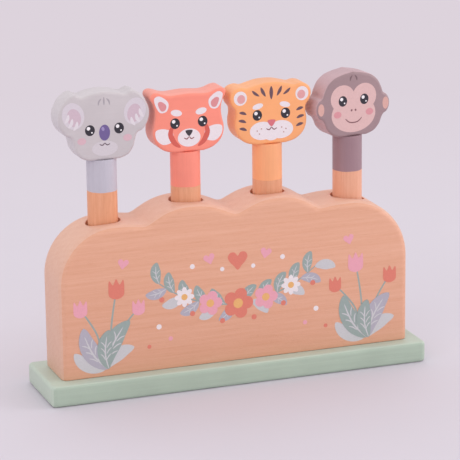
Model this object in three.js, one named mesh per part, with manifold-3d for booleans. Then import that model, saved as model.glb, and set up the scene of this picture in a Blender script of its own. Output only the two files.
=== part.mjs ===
// Pop up animal toy: four sprung pegs with flat animal heads, in a wavy wooden block on a base plate.
// Millimetres, +Z up. X runs along the toy, the front faces -Y, and the origin is at the centre of
// the base plate's underside.

import * as THREE from 'three';
import { mergeVertices } from 'three/addons/utils/BufferGeometryUtils.js';
import Module from 'manifold-3d';

const manifold = await Module();
manifold.setup();

// Clearances
const fitGap = 0.3; // between glued or seated pieces
const pegPlay = 1.7; // between a peg and its bore, all round
const springPlay = 3.7; // between a spring and its bore, all round
const headGap = 0.4; // least gap between neighbouring heads as one is pressed or lifted past the other
const overrun = 2; // how far a cutting tool passes the face that it opens

// Base plate
const baseHeight = 14.5;
const baseEndMargin = 10; // how far the plate stands out past the block's ends
const baseSideMargin = 10; // and in front of it and behind it
const baseCorner = 4;
const baseEdge = 2.5;

// Block with a wavy top: low outer humps, high inner humps
const blockThickness = 40;
const blockHeight = 111; // to the inner humps
const outerHumpDrop = 9; // outer humps below the inner ones
const outerDipDrop = 1.5; // outer dips below the outer humps
const middleDipDrop = 8; // middle dip below the inner humps
const leftDipReach = 22.5; // from an outer peg's axis to the dip beside it
const rightDipReach = 26.5;
const blockEndReach = 36.5; // from an outer peg's axis to the block's end
const leftShoulderRadius = 38;
const rightShoulderRadius = 42;
const blockEdge = 4.5; // rounded on the front and the back, but not where it stands on the plate
const humpShare = 0.6; // how far each hump runs on level, as a share of the way to the dip
const dipShare = 0.15; // and each dip, so that the dips are sharper than the humps

// Pegs
const pegDiameter = 20;
const dowelLength = 113.5;
const dowelEdge = 1.5; // chamfer at a dowel's lower end
const pinDiameter = 8;
const pinLength = 26;
const pinEdge = 0.8;

// Flat heads
const headThickness = 18;
const headEdge = 2;
const chinOverhang = 0.5; // how far the flat under a chin passes the dowel on each side
const koalaWidth = 62.5;
const koalaHeight = 46;
const redPandaWidth = 53;
const redPandaHeight = 41.5;
const tigerWidth = 57.5;
const tigerHeight = 42;
const monkeyWidth = 56.5;
const monkeyHeight = 44.5;
const monkeyTurn = 6.5; // degrees that the monkey looks past straight ahead

// Springs and the staples that hold them down
const springWire = 1;
const springLength = 30;
const springTurns = 8;
const stapleWire = 0.9;
const stapleGap = 0.5; // between a staple and the coil that it holds
const stapleDepth = 8;
const stapleBend = 0.6; // radius at the staple's corners, along its middle line

// Countersunk screws from under the base plate into the block
const screwLength = 36;
const screwShank = 4;
const screwHead = 8;
const screwHeadDepth = 2.5;
const screwSink = 0.6; // how far a screw's head lies inside the plate
const screwTip = 3;
const driveWidth = 3.6; // cross recess, arm to arm
const driveSlot = 0.9;
const driveDepth = 1.6;

// Steps on round stretches
const roundSides = 24;
const boreSides = 32;
const wireSides = 5;
const stapleSides = 6;
const curlSteps = 8;
const stapleSteps = 24;
const outlineSteps = 3;
const waveSteps = 8;
const edgeSteps = 2;

// Head outlines from beside the chin's flat to the crown, as shares of the half width and the height
const koalaOutlineShares = [
  [0.516, 0.048], [0.634, 0.152], [0.681, 0.27], [0.731, 0.352], [0.856, 0.4], [0.966, 0.513],
  [1, 0.661], [0.931, 0.804], [0.806, 0.913], [0.637, 0.974], [0.469, 0.935], [0.25, 0.97],
  [0, 0.991],
];
const redPandaOutlineShares = [
  [0.636, 0.046], [0.829, 0.142], [0.92, 0.26], [0.935, 0.381], [0.898, 0.494], [0.869, 0.602],
  [0.876, 0.723], [0.927, 0.824], [0.993, 0.901], [0.978, 0.966], [0.884, 1], [0.756, 0.99],
  [0.604, 0.954], [0.444, 0.937], [0.233, 0.945], [0, 0.954],
];
const tigerOutlineShares = [
  [0.6, 0.043], [0.779, 0.136], [0.869, 0.257], [0.886, 0.386], [0.862, 0.5], [0.876, 0.59],
  [0.952, 0.662], [1, 0.762], [0.972, 0.862], [0.862, 0.929], [0.717, 0.95], [0.579, 0.933],
  [0.428, 0.957], [0.221, 0.99], [0, 1],
];
const monkeyOutlineShares = [
  [0.568, 0.045], [0.716, 0.139], [0.782, 0.234], [0.839, 0.29], [0.926, 0.326], [0.989, 0.404],
  [0.993, 0.503], [0.926, 0.584], [0.828, 0.629], [0.782, 0.706], [0.681, 0.827], [0.505, 0.919],
  [0.288, 0.966], [0.112, 0.987], [0, 1],
];

// Finishes
const woodFinish = { color: 0xe4ab8c, roughness: 0.6, metalness: 0 };
const dowelFinish = { color: 0xeda57e, roughness: 0.6, metalness: 0 };
const mintFinish = { color: 0xa9bda9, roughness: 0.5, metalness: 0 };
const steelFinish = { color: 0xa8a8a6, roughness: 0.35, metalness: 1 };

const animals = [
  { name: 'koala', width: koalaWidth, height: koalaHeight, shares: koalaOutlineShares, turn: 0, color: 0xcbc2c4 },
  { name: 'red_panda', width: redPandaWidth, height: redPandaHeight, shares: redPandaOutlineShares, turn: 0,
    color: 0xfa9280 },
  { name: 'tiger', width: tigerWidth, height: tigerHeight, shares: tigerOutlineShares, turn: 0, color: 0xffaa6c },
  { name: 'monkey', width: monkeyWidth, height: monkeyHeight, shares: monkeyOutlineShares, turn: monkeyTurn,
    color: 0xa08488 },
];

// Half of a head's outline, from beside the chin's flat to the crown
function halfOutline(animal) {
  return animal.shares.map(([x, z]) => new THREE.Vector2((x * animal.width) / 2, z * animal.height));
}

// How far a head reaches sideways from its peg's axis, with its rounded edges and its turn
function headReach(animal) {
  const turn = THREE.MathUtils.degToRad(animal.turn);
  const side = Math.max(...halfOutline(animal).map((point) => point.x)) - headEdge;
  const front = headThickness / 2 - headEdge;
  return headEdge + side * Math.cos(turn) + front * Math.sin(turn);
}

// Worked out from the sizes above
const reaches = animals.slice(1).map((animal, i) => headReach(animals[i]) + headReach(animal));
const pegSpacing = Math.ceil(2 * (Math.max(...reaches) + headGap)) / 2; // up to the next half millimetre
const pegSpan = pegSpacing * (animals.length - 1);
const blockLength = pegSpan + 2 * blockEndReach;
const baseLength = blockLength + 2 * baseEndMargin;
const baseDepth = blockThickness + 2 * baseSideMargin;
const leftShoulderPlace = leftShoulderRadius - blockLength / 2;
const rightShoulderPlace = blockLength / 2 - rightShoulderRadius;
const leftDipPlace = leftDipReach - pegSpan / 2;
const rightDipPlace = pegSpan / 2 - rightDipReach;
const boreDiameter = pegDiameter + 2 * pegPlay;
const springRadius = boreDiameter / 2 - springPlay - springWire / 2; // to the middle of the wire
const springPitch = (springLength - springWire) / springTurns;
const springBottom = baseHeight + fitGap;
const dowelBottom = springBottom + springLength + fitGap;
const chinHeight = dowelBottom + dowelLength;
const pinHoleDepth = pinLength / 2 + fitGap;
const screwRow = blockThickness / 4;
const screwHoleTop = screwSink + screwLength + fitGap;
const pegPlaces = animals.map((animal, i) => i * pegSpacing - pegSpan / 2);

// A geometry's triangles as a solid that can be cut, and back again
function toSolid(geometry) {
  const bare = geometry.clone();
  bare.deleteAttribute('normal');
  bare.deleteAttribute('uv');
  const merged = mergeVertices(bare);
  const mesh = new manifold.Mesh({
    numProp: 3,
    vertProperties: new Float32Array(merged.attributes.position.array),
    triVerts: new Uint32Array(merged.index.array),
  });
  return new manifold.Manifold(mesh);
}

function toGeometry(solid) {
  const mesh = solid.getMesh();
  const geometry = new THREE.BufferGeometry();
  geometry.setAttribute('position', new THREE.BufferAttribute(new Float32Array(mesh.vertProperties), 3));
  geometry.setIndex(new THREE.BufferAttribute(new Uint32Array(mesh.triVerts), 1));
  geometry.computeVertexNormals();
  return geometry;
}

function cut(geometry, tools) {
  return toGeometry(tools.reduce((solid, tool) => solid.subtract(toSolid(tool)), toSolid(geometry)));
}

// A round post that stands along Z, from points of radius and height that start and end on the axis
function turned(profile, sides = roundSides) {
  const geometry = new THREE.LatheGeometry(profile.map(([r, z]) => new THREE.Vector2(r, z)), sides);
  return geometry.rotateX(Math.PI / 2);
}

function post(diameter, bottom, top, sides = roundSides) {
  const radius = diameter / 2;
  return turned([[0, bottom], [radius, bottom], [radius, top], [0, top]], sides);
}

// An outline in X and Z made as thick as asked along Y, with rounded front and back edges
function slab(outline, thickness, edge, steps) {
  const geometry = new THREE.ExtrudeGeometry(outline, {
    depth: thickness - 2 * edge,
    bevelThickness: edge,
    bevelSize: edge,
    bevelOffset: -edge,
    bevelSegments: edgeSteps,
    curveSegments: steps,
  });
  return geometry.translate(0, 0, edge - thickness / 2).rotateX(Math.PI / 2);
}

function polygon(radius, sides) {
  const corners = [];
  for (let i = 0; i < sides; i += 1) {
    const angle = (2 * Math.PI * i) / sides;
    corners.push(new THREE.Vector2(radius * Math.cos(angle), radius * Math.sin(angle)));
  }
  return new THREE.Shape(corners);
}

function wireAlong(path, diameter, sides, steps) {
  return new THREE.ExtrudeGeometry(polygon(diameter / 2, sides), { steps, extrudePath: path });
}

// Base plate: rounded corners and edges, screw holes from below, staple holes from above
function roundedRectangle(length, depth, corner) {
  const x = length / 2;
  const y = depth / 2;
  const shape = new THREE.Shape();
  shape.moveTo(corner - x, -y);
  shape.absarc(x - corner, corner - y, corner, -Math.PI / 2, 0);
  shape.absarc(x - corner, y - corner, corner, 0, Math.PI / 2);
  shape.absarc(corner - x, y - corner, corner, Math.PI / 2, Math.PI);
  shape.absarc(corner - x, corner - y, corner, Math.PI, 1.5 * Math.PI);
  return shape;
}

function basePlate() {
  const plate = new THREE.ExtrudeGeometry(roundedRectangle(baseLength, baseDepth, baseCorner), {
    depth: baseHeight - 2 * baseEdge,
    bevelThickness: baseEdge,
    bevelSize: baseEdge,
    bevelOffset: -baseEdge,
    bevelSegments: edgeSteps,
    curveSegments: outlineSteps,
  });
  plate.translate(0, 0, baseEdge);
  const stapleHole = stapleWire + 2 * fitGap;
  const holes = pegPlaces.flatMap((x) => stapleLegs().map((leg) => post(
    stapleHole,
    baseHeight - stapleDepth - fitGap,
    baseHeight + overrun,
    stapleSides,
  ).translate(x + leg.x, leg.y, 0)));
  return cut(plate, [...holes, ...screwPlaces().map(([x, y]) => screwHole().translate(x, y, 0))]);
}

// Block: its wave runs level at every hump and dip, and its shoulders are quarter rounds
function blockOutline() {
  const outerHump = blockHeight - outerHumpDrop;
  const outerDip = outerHump - outerDipDrop;
  const middleDip = blockHeight - middleDipDrop;
  const wave = [
    [rightShoulderPlace, outerHump], [rightDipPlace, outerDip], [rightDipPlace / 2, blockHeight], [0, middleDip],
    [leftDipPlace / 2, blockHeight], [leftDipPlace, outerDip], [leftShoulderPlace, outerHump],
  ];
  const end = blockLength / 2;
  const shape = new THREE.Shape();
  shape.moveTo(-end, -blockEdge);
  shape.lineTo(end, -blockEdge);
  shape.absarc(rightShoulderPlace, outerHump - rightShoulderRadius, rightShoulderRadius, 0, Math.PI / 2);
  wave.slice(1).forEach(([x, z], i) => {
    const [fromX, fromZ] = wave[i];
    const run = x - fromX;
    const [leaving, arriving] = fromZ > z ? [humpShare, dipShare] : [dipShare, humpShare];
    shape.bezierCurveTo(fromX + leaving * run, fromZ, x - arriving * run, z, x, z);
  });
  shape.absarc(leftShoulderPlace, outerHump - leftShoulderRadius, leftShoulderRadius, Math.PI / 2, Math.PI);
  return shape;
}

function block() {
  const body = slab(blockOutline(), blockThickness, blockEdge, waveSteps).translate(0, 0, baseHeight);
  const foot = new THREE.BoxGeometry(baseLength, baseDepth, 2 * blockEdge).translate(0, 0, baseHeight - blockEdge);
  const bores = pegPlaces.map((x) => post(
    boreDiameter,
    baseHeight - overrun,
    baseHeight + blockHeight + overrun,
    boreSides,
  ).translate(x, 0, 0));
  return cut(body, [foot, ...bores, ...screwPlaces().map(([x, y]) => screwHole().translate(x, y, 0))]);
}

// Screws: two pairs, in the wood between the outer and the inner bores
function screwPlaces() {
  return [-pegSpacing, pegSpacing].flatMap((x) => [[x, -screwRow], [x, screwRow]]);
}

function screwHole() {
  const shank = screwShank / 2 + fitGap;
  const head = screwHead / 2 + fitGap;
  const neck = screwSink + screwHeadDepth;
  return turned([[0, -overrun], [head, -overrun], [head, screwSink], [shank, neck], [shank, screwHoleTop],
    [0, screwHoleTop]]);
}

function screw() {
  const shank = screwShank / 2;
  const neck = screwSink + screwHeadDepth;
  const tip = screwSink + screwLength;
  const body = turned([[0, screwSink], [screwHead / 2, screwSink], [shank, neck], [shank, tip - screwTip], [0, tip]]);
  const slots = [[driveWidth, driveSlot], [driveSlot, driveWidth]].map(([width, depth]) => {
    const slot = new THREE.BoxGeometry(width, depth, 2 * driveDepth);
    return slot.translate(0, 0, screwSink);
  });
  return cut(body, slots);
}

// Spring: one wire that climbs from just above the base plate to just below the dowel
class Helix extends THREE.Curve {
  getPoint(t, target = new THREE.Vector3()) {
    const angle = 2 * Math.PI * springTurns * t;
    const climb = springPitch * springTurns * t;
    return target.set(springRadius * Math.cos(angle), springRadius * Math.sin(angle), climb);
  }
}

function spring() {
  const wire = wireAlong(new Helix(), springWire, wireSides, springTurns * curlSteps);
  return wire.translate(0, 0, springBottom + springWire / 2);
}

function leastSpringGap() {
  const points = new Helix().getSpacedPoints(springTurns * curlSteps);
  let least = Infinity;
  points.forEach((point, i) => {
    points.slice(i + curlSteps / 2).forEach((other) => {
      least = Math.min(least, point.distanceTo(other) - springWire);
    });
  });
  return least;
}

// Staple: a U of wire over the spring's bottom coil, a quarter turn from where the coil starts
function stapleReach() {
  return springWire / 2 + stapleGap + stapleWire / 2;
}

function stapleLegs() {
  return [springRadius - stapleReach(), springRadius + stapleReach()].map((y) => new THREE.Vector2(0, y));
}

function staple() {
  const [inner, outer] = stapleLegs().map((leg) => leg.y);
  const coil = springBottom + springWire / 2 + springPitch / 4;
  const crown = coil + stapleReach();
  const foot = baseHeight - stapleDepth;
  const at = (y, z) => new THREE.Vector3(0, y, z);
  const path = new THREE.CurvePath();
  path.add(new THREE.LineCurve3(at(inner, foot), at(inner, crown - stapleBend)));
  path.add(new THREE.QuadraticBezierCurve3(
    at(inner, crown - stapleBend),
    at(inner, crown),
    at(inner + stapleBend, crown),
  ));
  path.add(new THREE.LineCurve3(at(inner + stapleBend, crown), at(outer - stapleBend, crown)));
  path.add(new THREE.QuadraticBezierCurve3(
    at(outer - stapleBend, crown),
    at(outer, crown),
    at(outer, crown - stapleBend),
  ));
  path.add(new THREE.LineCurve3(at(outer, crown - stapleBend), at(outer, foot)));
  return wireAlong(path, stapleWire, stapleSides, stapleSteps);
}

// Peg: a dowel and a flat head, joined by a pin that sits in a blind hole in each
function dowel() {
  const radius = pegDiameter / 2;
  const body = turned([[0, dowelBottom], [radius - dowelEdge, dowelBottom], [radius, dowelBottom + dowelEdge],
    [radius, chinHeight], [0, chinHeight]]);
  return cut(body, [post(pinDiameter + 2 * fitGap, chinHeight - pinHoleDepth, chinHeight + overrun)]);
}

function neckPin() {
  const radius = pinDiameter / 2;
  const bottom = chinHeight - pinLength / 2;
  const top = chinHeight + pinLength / 2;
  return turned([[0, bottom], [radius - pinEdge, bottom], [radius, bottom + pinEdge], [radius, top - pinEdge],
    [radius - pinEdge, top], [0, top]]);
}

function headOutline(animal) {
  const seat = pegDiameter / 2 + chinOverhang;
  const half = halfOutline(animal);
  const mirrored = half.slice(0, -1).reverse().map((point) => new THREE.Vector2(-point.x, point.y));
  const shape = new THREE.Shape();
  shape.moveTo(-seat, 0);
  shape.lineTo(seat, 0);
  shape.splineThru([...half, ...mirrored, new THREE.Vector2(-seat, 0)]);
  return shape;
}

function head(animal) {
  const body = slab(headOutline(animal), headThickness, headEdge, outlineSteps);
  body.rotateZ(THREE.MathUtils.degToRad(animal.turn)).translate(0, 0, chinHeight + fitGap);
  return cut(body, [post(pinDiameter + 2 * fitGap, chinHeight - overrun, chinHeight + pinHoleDepth)]);
}

// The whole toy
const toy = new THREE.Group();

function add(name, geometry, finish, x = 0, y = 0) {
  const mesh = new THREE.Mesh(geometry, new THREE.MeshStandardMaterial(finish));
  mesh.name = name;
  mesh.position.set(x, y, 0);
  toy.add(mesh);
}

add('base_plate', basePlate(), mintFinish);
add('block', block(), woodFinish);
screwPlaces().forEach(([x, y], i) => add(`base_screw_${i + 1}`, screw(), steelFinish, x, y));
animals.forEach((animal, i) => {
  const x = pegPlaces[i];
  const paint = { color: animal.color, roughness: 0.5, metalness: 0 };
  add(`${animal.name}_spring`, spring(), steelFinish, x);
  add(`${animal.name}_staple`, staple(), steelFinish, x);
  add(`${animal.name}_dowel`, dowel(), dowelFinish, x);
  add(`${animal.name}_neck_pin`, neckPin(), dowelFinish, x);
  add(`${animal.name}_head`, head(animal), paint, x);
});

console.log(`least gap between a spring's coils: ${leastSpringGap().toFixed(2)} mm`);

export default toy;
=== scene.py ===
import bpy
import bmesh
from math import cos, pi, radians, sin, tau
from mathutils import Color, Matrix, Vector
from mathutils.geometry import interpolate_bezier


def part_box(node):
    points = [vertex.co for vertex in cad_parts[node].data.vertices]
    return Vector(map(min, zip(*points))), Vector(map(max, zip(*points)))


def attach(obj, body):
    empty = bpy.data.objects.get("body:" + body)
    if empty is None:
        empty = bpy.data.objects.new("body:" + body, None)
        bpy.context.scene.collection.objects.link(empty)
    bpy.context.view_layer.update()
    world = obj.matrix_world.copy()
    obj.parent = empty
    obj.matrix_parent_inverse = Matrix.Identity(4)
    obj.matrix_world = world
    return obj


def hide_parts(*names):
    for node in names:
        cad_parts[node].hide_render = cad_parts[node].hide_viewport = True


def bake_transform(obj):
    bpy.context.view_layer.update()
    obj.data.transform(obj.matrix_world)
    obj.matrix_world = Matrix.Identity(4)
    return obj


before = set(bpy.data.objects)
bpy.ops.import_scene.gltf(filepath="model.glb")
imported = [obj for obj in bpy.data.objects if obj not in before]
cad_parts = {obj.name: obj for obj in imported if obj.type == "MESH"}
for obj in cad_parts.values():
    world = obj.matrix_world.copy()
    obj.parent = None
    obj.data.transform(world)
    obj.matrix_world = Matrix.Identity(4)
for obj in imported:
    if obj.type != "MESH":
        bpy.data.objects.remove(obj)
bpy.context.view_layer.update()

mm = 0.001  # pieces are modelled in millimetres and brought to metres at the end
animals = ("koala", "red_panda", "tiger", "monkey")


def cadSpan(node):  # lowest and highest corners of a CAD node, in millimetres
    low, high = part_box(node)
    return low / mm, high / mm


def linear(hexCode):  # a screen colour as the renderer takes it
    levels = [int(hexCode[i:i + 2], 16) / 255 for i in (1, 3, 5)]
    return (*Color(levels).from_srgb_to_scene_linear(), 1)


# Shader nodes
def connect(tree, sockets, values):  # values are other nodes' sockets, numbers or colours
    for key, value in values.items():
        if isinstance(value, bpy.types.NodeSocket):
            tree.links.new(value, sockets[key])
        else:
            sockets[key].default_value = value


def addNode(tree, kind, inputs, **settings):  # gives the new node's outputs
    made = tree.nodes.new("ShaderNode" + kind)
    for key, value in settings.items():
        setattr(made, key, value)
    connect(tree, made.inputs, inputs)
    return made.outputs


def mixColours(tree, factor, first, second, blend="MIX"):  # the node's colour sockets are 6 and 7 in, 2 out
    inputs = {0: factor, 6: first, 7: second}
    return addNode(tree, "Mix", inputs, data_type="RGBA", blend_type=blend)[2]


def toned(tree, colour, tone):  # a colour made lighter or darker
    return mixColours(tree, 1.0, colour, tone, "MULTIPLY")


def calculate(tree, operation, *values, clamp=False):
    inputs = dict(enumerate(values))
    return addNode(tree, "Math", inputs, operation=operation, use_clamp=clamp)[0]


def remap(tree, value, low, high, toLow=0.0, toHigh=1.0):
    inputs = {"Value": value, "From Min": low, "From Max": high, "To Min": toLow, "To Max": toHigh}
    return addNode(tree, "MapRange", inputs)[0]


def noise(tree, place, look):  # a look's stretch is its features per metre along X, Y and Z
    factors = {0: place, 1: look["stretch"]}
    stretched = addNode(tree, "VectorMath", factors, operation="MULTIPLY")[0]
    inputs = {"Vector": stretched, "Scale": 1.0, "Detail": look["detail"], "Roughness": look["roughness"]}
    return addNode(tree, "TexNoise", inputs)[0]


def spread(tree, value, look, toLow=0.0, toHigh=1.0):  # what lies between a look's limits, over a new range
    return remap(tree, value, *look["limits"], toLow, toHigh)


def pattern(tree, place, look, toLow=0.0, toHigh=1.0):
    return spread(tree, noise(tree, place, look), look, toLow, toHigh)


def newGroup(name, inputs, outputs):
    tree = bpy.data.node_groups.new(name, "ShaderNodeTree")
    for direction, sockets in (("INPUT", inputs), ("OUTPUT", outputs)):
        for socketName, kind in sockets.items():
            tree.interface.new_socket(socketName, in_out=direction, socket_type="NodeSocket" + kind)
    return tree, tree.nodes.new("NodeGroupInput").outputs, tree.nodes.new("NodeGroupOutput").inputs


def useGroup(tree, group, **inputs):
    return addNode(tree, "Group", inputs, node_tree=group)


def newMaterial(name):
    material = bpy.data.materials.new(name)
    material.use_nodes = True
    tree = material.node_tree
    return material, tree, tree.nodes["Principled BSDF"].inputs


def placeOnPiece(tree, shift=(0, 0, 0), turn=(0, 0, 0)):  # object coordinates, moved and turned for a piece
    place = addNode(tree, "TexCoord", {})["Object"]
    inputs = {"Vector": place, "Location": shift, "Rotation": turn}
    return addNode(tree, "Mapping", inputs)[0]


def dress(tree, shader, relief, colour, height, roughness):
    bump = addNode(tree, "Bump", {"Height": height, "Distance": relief})[0]
    connect(tree, shader, {"Base Color": colour, "Roughness": roughness, "Normal": bump})


surface = {"Colour": "Color", "Height": "Float", "Roughness": "Float"}  # what wood and paint give
upright = (0, pi / 2, 0)  # turns the grain to run up a piece
plain = {"detail": 2.0, "roughness": 0.5, "limits": (0.3, 0.7)}  # an ordinary noise, to be stretched

# Wood: growth rings round X, streaks and fibres along X, and short pores
grain = {
    "rings": 84.0, "ringBend": 3.0, "ringDetail": 2.0, "ringDetailScale": 0.6,
    "streaks": {"stretch": (7, 190, 190), "detail": 3.0, "roughness": 0.6, "limits": (0.3, 0.7)},
    "fibres": {"stretch": (40, 1300, 1300), "detail": 2.0, "roughness": 0.6, "limits": (0.35, 0.7)},
    "pores": {"stretch": (240, 3200, 3200), "detail": 1.0, "roughness": 0.5, "limits": (0.62, 0.72)},
    "ringShare": 0.16, "streakShare": 0.38, "fibreShare": 0.36, "poreShare": 0.40,
    "sheen": (0.44, 0.58), "relief": 0.00004,
}


def makeGrainGroup():
    inputs = {"Place": "Vector", "Light": "Color", "Dark": "Color", "Figure": "Float"}
    tree, given, result = newGroup("woodGrain", inputs, surface)
    place = given["Place"]
    ringInputs = {"Vector": place, "Scale": grain["rings"], "Distortion": grain["ringBend"],
                  "Detail": grain["ringDetail"], "Detail Scale": grain["ringDetailScale"]}
    rings = addNode(tree, "TexWave", ringInputs, wave_type="RINGS", rings_direction="X")["Fac"]
    streaks, fibres, pores = [pattern(tree, place, grain[name]) for name in ("streaks", "fibres", "pores")]
    tone = calculate(tree, "MULTIPLY", rings, grain["ringShare"])
    for figure, share in ((streaks, "streakShare"), (fibres, "fibreShare"), (pores, "poreShare")):
        tone = calculate(tree, "MULTIPLY_ADD", figure, grain[share], tone)
    tone = calculate(tree, "MULTIPLY", tone, given["Figure"], clamp=True)
    connect(tree, result, {
        "Colour": mixColours(tree, tone, given["Light"], given["Dark"]),
        "Height": calculate(tree, "SUBTRACT", fibres, pores),
        "Roughness": remap(tree, fibres, 0.0, 1.0, *grain["sheen"]),
    })
    return tree


# Paint on wood: soft mottling, the grain just showing through, and a fine skin
coat = {
    "mottle": {"stretch": (38, 38, 38), "detail": 3.0, "roughness": 0.55, "limits": (0.3, 0.7)},
    "telegraph": {"stretch": (22, 700, 700), "detail": 3.0, "roughness": 0.6, "limits": (0.3, 0.7)},
    "skin": {"stretch": (850, 850, 850), **plain},
    "mottleTone": 0.04, "telegraphTone": 0.05, "skinShare": 0.5, "sheen": (0.40, 0.50), "relief": 0.00003,
}


def makeCoatGroup():
    inputs = {"Place": "Vector", "Paint": "Color", "Thin": "Float"}
    tree, given, result = newGroup("paintCoat", inputs, surface)
    place = given["Place"]
    mottle = pattern(tree, place, coat["mottle"], -1.0, 1.0)
    telegraph = pattern(tree, place, coat["telegraph"], -1.0, 1.0)
    skin = noise(tree, place, coat["skin"])
    grained = calculate(tree, "MULTIPLY", telegraph, given["Thin"])
    tone = calculate(tree, "MULTIPLY_ADD", mottle, coat["mottleTone"], 1.0)
    tone = calculate(tree, "MULTIPLY_ADD", grained, coat["telegraphTone"], tone)
    connect(tree, result, {
        "Colour": toned(tree, given["Paint"], tone),
        "Height": calculate(tree, "MULTIPLY_ADD", skin, coat["skinShare"], grained),
        "Roughness": remap(tree, mottle, -1.0, 1.0, *coat["sheen"]),
    })
    return tree


# The dipped end of a dowel: 0 below a height, 1 above it, along a slightly uneven line
dip = {
    "waver": {"stretch": (160, 160, 40), **plain}, "unevenness": 0.00015, "softness": 0.0001,
    "woodFigure": 0.8, "paintThin": 0.6, "relief": 0.00004,
}


def makeDipGroup():
    tree, given, result = newGroup("dippedEnd", {"Place": "Vector", "Level": "Float"}, {"Above": "Float"})
    drift = pattern(tree, given["Place"], dip["waver"], -dip["unevenness"], dip["unevenness"])
    height = addNode(tree, "SeparateXYZ", {0: given["Place"]})["Z"]
    over = calculate(tree, "SUBTRACT", calculate(tree, "ADD", height, drift), given["Level"])
    tree.links.new(remap(tree, over, -dip["softness"], dip["softness"]), result["Above"])
    return tree


grainGroup = makeGrainGroup()
coatGroup = makeCoatGroup()
dipGroup = makeDipGroup()


def woodMaterial(name, light, dark, figure=1.0, shift=(0, 0, 0), turn=(0, 0, 0), ends=None):
    material, tree, shader = newMaterial(name)
    light, dark = linear(light), linear(dark)
    if ends:  # the tones turn into end-grain tones, with painted sheen and painted shade, from one place along X to another
        along = addNode(tree, "SeparateXYZ", {0: placeOnPiece(tree)})["X"]
        share = remap(tree, calculate(tree, "ABSOLUTE", along), ends["from"], ends["to"])
        light = mixColours(tree, share, light, linear(ends["light"]))
        dark = mixColours(tree, share, dark, linear(ends["dark"]))
    place = placeOnPiece(tree, shift, turn)
    wood = useGroup(tree, grainGroup, Place=place, Light=light, Dark=dark, Figure=figure)
    dress(tree, shader, grain["relief"], *wood)
    return material


def paintMaterial(name, paint, thin, shift=(0, 0, 0)):
    material, tree, shader = newMaterial(name)
    painted = useGroup(tree, coatGroup, Place=placeOnPiece(tree, shift), Paint=linear(paint), Thin=thin)
    dress(tree, shader, coat["relief"], *painted)
    return material


def dippedDowelMaterial(name, light, dark, paint, level, shift):
    material, tree, shader = newMaterial(name)
    place = placeOnPiece(tree, shift, upright)
    light, dark = linear(light), linear(dark)
    wood = useGroup(tree, grainGroup, Place=place, Light=light, Dark=dark, Figure=dip["woodFigure"])
    painted = useGroup(tree, coatGroup, Place=place, Paint=linear(paint), Thin=dip["paintThin"])
    above = useGroup(tree, dipGroup, Place=placeOnPiece(tree), Level=level)["Above"]
    colour = mixColours(tree, above, wood["Colour"], painted["Colour"])
    roughInputs = {0: above, 2: wood["Roughness"], 3: painted["Roughness"]}  # 2 and 3 take single values
    roughness = addNode(tree, "Mix", roughInputs, data_type="FLOAT")[0]
    height = calculate(tree, "ADD", wood["Height"], above)
    dress(tree, shader, dip["relief"], colour, height, roughness)
    return material


inkLook = {"speckle": {"stretch": (900, 900, 900), **plain}, "tones": (0.97, 1.03), "sheen": (0.38, 0.46)}


def inkMaterial(name):  # printed ink, with each shape's colour kept on the mesh
    material, tree, shader = newMaterial(name)
    colour = addNode(tree, "Attribute", {}, attribute_name="ink")["Color"]
    look = inkLook["speckle"]
    speckle = noise(tree, placeOnPiece(tree), look)
    connect(tree, shader, {
        "Base Color": toned(tree, colour, spread(tree, speckle, look, *inkLook["tones"])),
        "Roughness": spread(tree, speckle, look, *inkLook["sheen"]),
    })
    return material


zinc = {
    "brush": {"stretch": (2200, 2200, 300), **plain}, "light": "#b4b3ae", "dark": "#8f8f8d",
    "sheen": (0.24, 0.40), "relief": 0.00001,
}


def steelMaterial():
    material, tree, shader = newMaterial("zincSteel")
    brushed = noise(tree, placeOnPiece(tree), zinc["brush"])
    colour = mixColours(tree, brushed, linear(zinc["light"]), linear(zinc["dark"]))
    roughness = spread(tree, brushed, zinc["brush"], *zinc["sheen"])
    dress(tree, shader, zinc["relief"], colour, brushed, roughness)
    shader["Metallic"].default_value = 1.0
    return material


# Making pieces
def throughPoints(points, steps):  # a smooth line through points, the same curve as the CAD outline
    points = [Vector(point) for point in points]
    last = len(points) - 1
    line = []
    for i in range(last):
        start, end = points[i], points[i + 1]
        leaving = start + (end - points[max(i - 1, 0)]) / 6
        arriving = end - (points[min(i + 2, last)] - start) / 6
        line += interpolate_bezier(start, leaving, arriving, end, steps + 1)[:-1]
    return line + [points[last]]


def arc(centre, radius, start, end, steps):  # angles in degrees
    angles = [radians(start + (end - start) * i / steps) for i in range(steps + 1)]
    return [Vector((centre[0] + radius * cos(a), centre[1] + radius * sin(a))) for a in angles]


def box(size):
    bm = bmesh.new()
    bmesh.ops.create_cube(bm, size=1, matrix=Matrix.Diagonal((*size, 1)))
    return bm


def vertsOf(items):
    return [item for item in items if isinstance(item, bmesh.types.BMVert)]


def rimsOf(bm):  # edges of the faces with many corners
    return [e for e in bm.edges if any(len(face.verts) > 4 for face in e.link_faces)]


def roundEdges(bm, edges, offset, steps, clamp=False):
    bmesh.ops.bevel(bm, geom=edges, offset=offset, offset_type="OFFSET", segments=steps, profile=0.5,
                    affect="EDGES", material=-1, clamp_overlap=clamp)


def slab(outline, thickness, edge, edgeSteps):  # an outline in X and Z, extruded along Y, with rounded rims
    bm = bmesh.new()
    front = bm.faces.new([bm.verts.new((x, -thickness / 2, z)) for x, z in outline])
    made = bmesh.ops.extrude_face_region(bm, geom=[front])["geom"]
    bmesh.ops.translate(bm, vec=(0, thickness, 0), verts=vertsOf(made))
    bmesh.ops.recalc_face_normals(bm, faces=bm.faces)
    roundEdges(bm, rimsOf(bm), edge, edgeSteps)
    return bm


def paintFronts(bm, facing=0.7):  # first material for the front, the back and half of their rims
    bm.normal_update()
    for face in bm.faces:
        face.material_index = 0 if abs(face.normal.y) > facing else 1


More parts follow.
